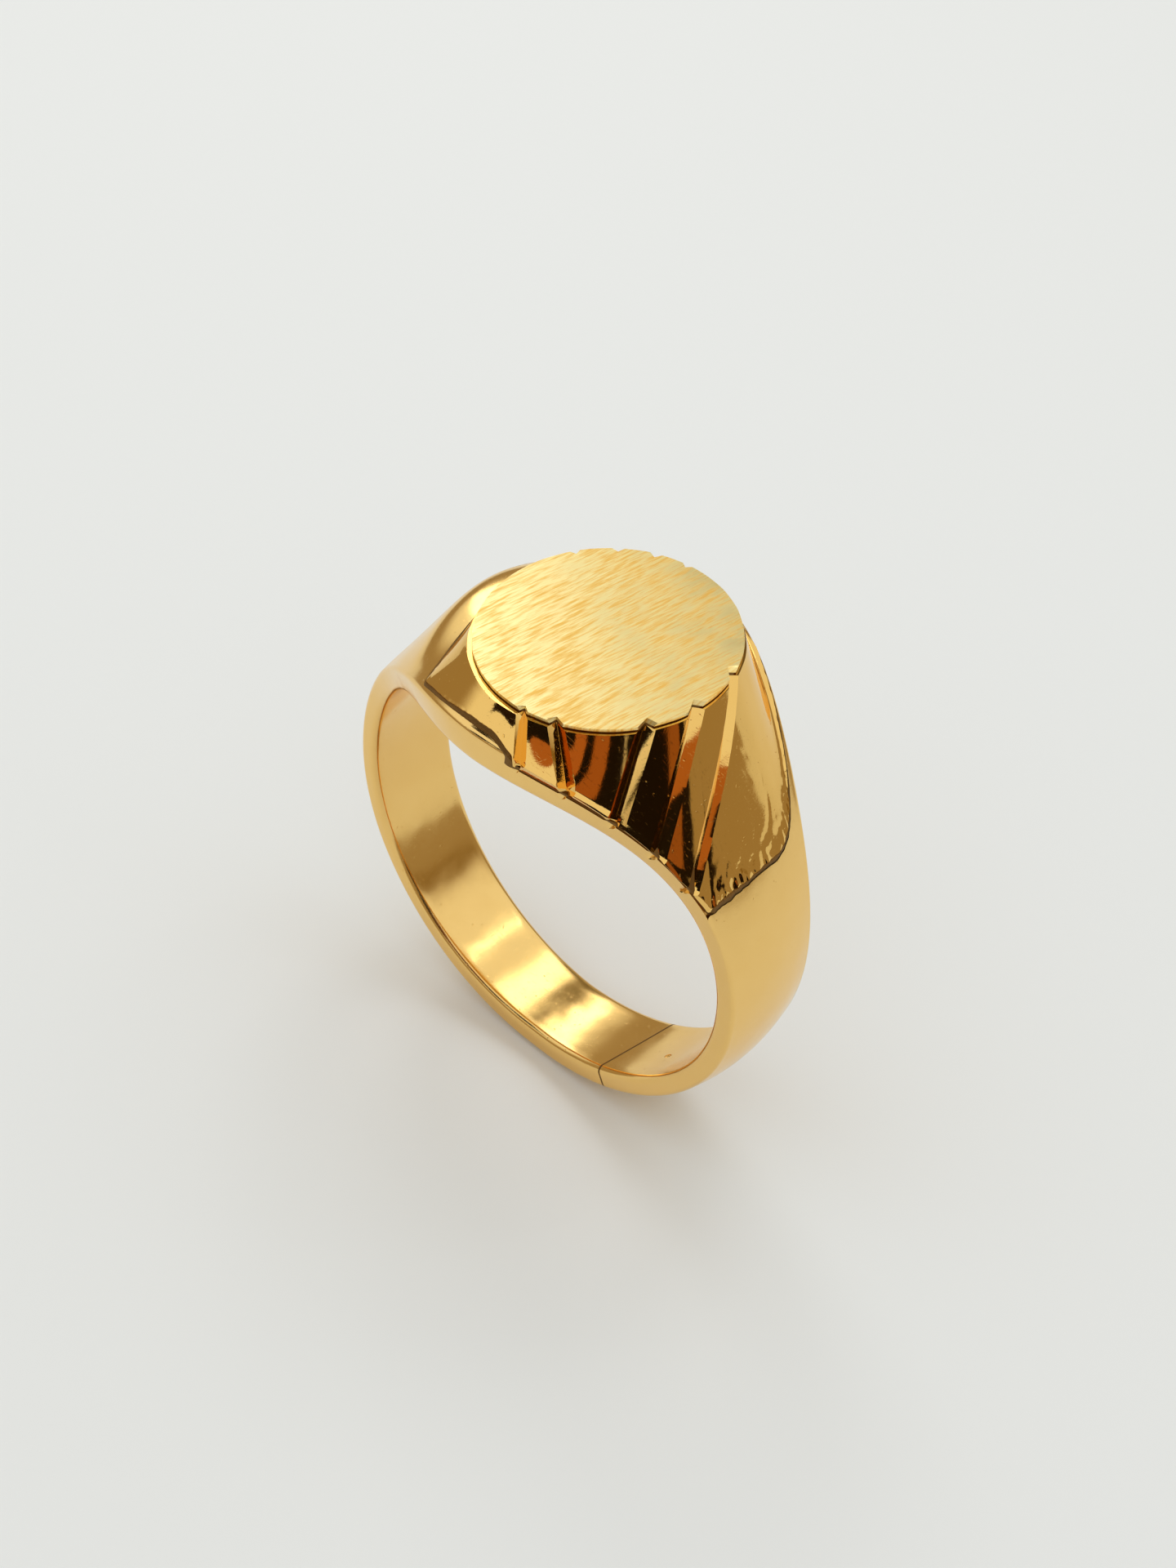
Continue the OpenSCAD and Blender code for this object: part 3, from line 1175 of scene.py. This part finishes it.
# The same of the flags: dark ones before the ring, which its front wall reflects, a dim patch of
# ceiling that tones down the far side of the table, and a doorway that the band's inside reflects
SQUARE_CARDS = [
    ("dark_a", (0.011, -0.097, 0.089), (0.070, 0.050), (0.05, 0.03, 0.015), 0.2),
    ("dark_b", (0.077, -0.075, 0.074), (0.090, 0.060), (0.05, 0.03, 0.015), 0.2),
    ("dark_c", (0.118, -0.007, 0.054), (0.070, 0.070), (0.05, 0.03, 0.015), 0.2),
    ("dark_d", (0.113, 0.028, 0.032), (0.015, 0.030), (0.05, 0.03, 0.015), 0.3),
    ("dark_e", (-0.036, -0.060, 0.070), (0.035, 0.040), (0.06, 0.03, 0.015), 0.3),
    ("dim_back", (-0.119, 0.224, 0.223), (0.15, 0.15), (0.45, 0.33, 0.16), 0.35),
    ("dark_back", (0.135, 0.082, 0.062), (0.045, 0.028), (0.20, 0.13, 0.04), 1.2),
]


def soft_light(name, at, size, power):
    """A square soft light at a place in metres, facing the ring."""
    light = bpy.data.lights.new(name, "AREA")
    light.shape = "RECTANGLE"
    light.size, light.size_y = size
    light.energy = power
    ob = bpy.data.objects.new(name, light)
    ob.location = at
    ob.rotation_euler = (Vector((0, 0, 0)) - Vector(at)).to_track_quat("-Z", "Y").to_euler()
    bpy.context.collection.objects.link(ob)
    return ob


def card(name, at, size, colour, strength, round_off=False):
    """A flag or reflector that only shows in the gold's reflections."""
    deselect()
    if round_off:
        bpy.ops.mesh.primitive_circle_add(radius=0.5, vertices=48, fill_type="NGON")
    else:
        bpy.ops.mesh.primitive_plane_add(size=1)
    ob = new_piece(name)
    aim = (Vector((0, 0, 0)) - Vector(at)).to_track_quat("Z", "Y").to_matrix().to_4x4()
    ob.data.transform(Matrix.Translation(at) @ aim @ Matrix.Diagonal((*size, 1, 1)))
    made = bpy.data.materials.new(name)
    made.use_nodes = True
    surface = made.node_tree.nodes["Principled BSDF"]
    surface.inputs["Base Color"].default_value = (0, 0, 0, 1)
    surface.inputs["Specular IOR Level"].default_value = 0
    surface.inputs["Emission Color"].default_value = (*colour, 1)
    surface.inputs["Emission Strength"].default_value = strength
    ob.data.materials.append(made)
    ob.visible_camera = False
    ob.visible_shadow = False
    ob.visible_diffuse = False
    return ob


def studio_world():
    """Bright overhead, and a dim warm room near the horizon."""
    world = bpy.data.worlds.new("studio")
    world.use_nodes = True
    tree = world.node_tree
    where = tree.nodes.new("ShaderNodeTexCoord").outputs["Generated"]
    height = tree.nodes.new("ShaderNodeSeparateXYZ")
    link(tree, where, height.inputs["Vector"])
    overhead = ramp(tree, height.outputs["Z"], 0.34, 0.60)
    link(tree, tinted(tree, (0.36, 0.28, 0.17), (0.93, 0.945, 0.94), overhead),
         tree.nodes["Background"].inputs["Color"])
    tree.nodes["Background"].inputs["Strength"].default_value = 1.0
    return world


class RING_OT_studio(bpy.types.Operator):
    """Sets up the floor, the soft lights, the surroundings and the camera."""

    bl_idname = "ring.studio"
    bl_label = "Studio"

    def execute(self, context):
        floor_z = CAD_BOX[0][2]
        deselect()
        bpy.ops.mesh.primitive_plane_add(size=2.4, location=(0, 0, floor_z))
        floor = new_piece("floor")
        bpy.ops.object.transform_apply(location=True, rotation=True, scale=True)
        floor.data.materials.append(floor_material())

        for settings in LIGHTS:
            soft_light(*settings)
        for settings in ROUND_CARDS:
            card(*settings, round_off=True)
        for settings in SQUARE_CARDS:
            card(*settings)

        context.scene.world = studio_world()
        self.camera(context)
        context.scene.view_settings.view_transform = "Standard"
        return {"FINISHED"}

    def camera(self, context):
        s = context.scene.ring_studio
        az, el, roll = s.azimuth, s.elevation, s.roll
        back = Vector((sin(az) * cos(el), -cos(az) * cos(el), sin(el)))
        flat = Vector((cos(az), sin(az), 0))
        rise = back.cross(flat)
        right = flat * cos(roll) + rise * sin(roll)
        up = rise * cos(roll) - flat * sin(roll)
        place = back * s.distance + right * s.aim_right + up * s.aim_up
        data = bpy.data.cameras.new("camera")
        data.sensor_fit = "HORIZONTAL"
        data.sensor_width = 36
        data.lens = s.lens
        data.clip_start = 0.001
        ob = bpy.data.objects.new("camera", data)
        turn = Matrix((right, up, back)).transposed()
        ob.matrix_world = Matrix.Translation(place) @ turn.to_4x4()
        context.collection.objects.link(ob)
        context.scene.camera = ob


class RING_PT_panel(bpy.types.Panel):
    """Lists the ring's sizes, finishes and the steps that model it."""

    bl_idname = "RING_PT_panel"
    bl_label = "Signet ring"
    bl_space_type = "VIEW_3D"
    bl_region_type = "UI"
    bl_category = "Signet ring"

    def draw(self, context):
        layout = self.layout
        for group in (context.scene.ring_sizes, context.scene.ring_finish, context.scene.ring_studio):
            box = layout.box()
            for name in group.bl_rna.properties.keys():
                if name not in ("rna_type", "name"):
                    box.prop(group, name)
        for step in STEPS:
            layout.operator(step.bl_idname)


STEPS = (RING_OT_band, RING_OT_palm_seam, RING_OT_head, RING_OT_head_seam, RING_OT_table,
         RING_OT_table_seam, RING_OT_studio)
CLASSES = (RingSizes, RingFinish, RingStudio, *STEPS, RING_PT_panel)


def register():
    for cls in CLASSES:
        bpy.utils.register_class(cls)
    bpy.types.Scene.ring_sizes = PointerProperty(type=RingSizes)
    bpy.types.Scene.ring_finish = PointerProperty(type=RingFinish)
    bpy.types.Scene.ring_studio = PointerProperty(type=RingStudio)


def unregister():
    del bpy.types.Scene.ring_studio
    del bpy.types.Scene.ring_finish
    del bpy.types.Scene.ring_sizes
    for cls in reversed(CLASSES):
        bpy.utils.unregister_class(cls)


def main():
    register()
    bpy.ops.ring.band()
    bpy.ops.ring.palm_seam()
    bpy.ops.ring.head()
    bpy.ops.ring.head_seam()
    bpy.ops.ring.table()
    bpy.ops.ring.table_seam()
    bpy.ops.ring.studio()


if __name__ == "__main__":
    main()
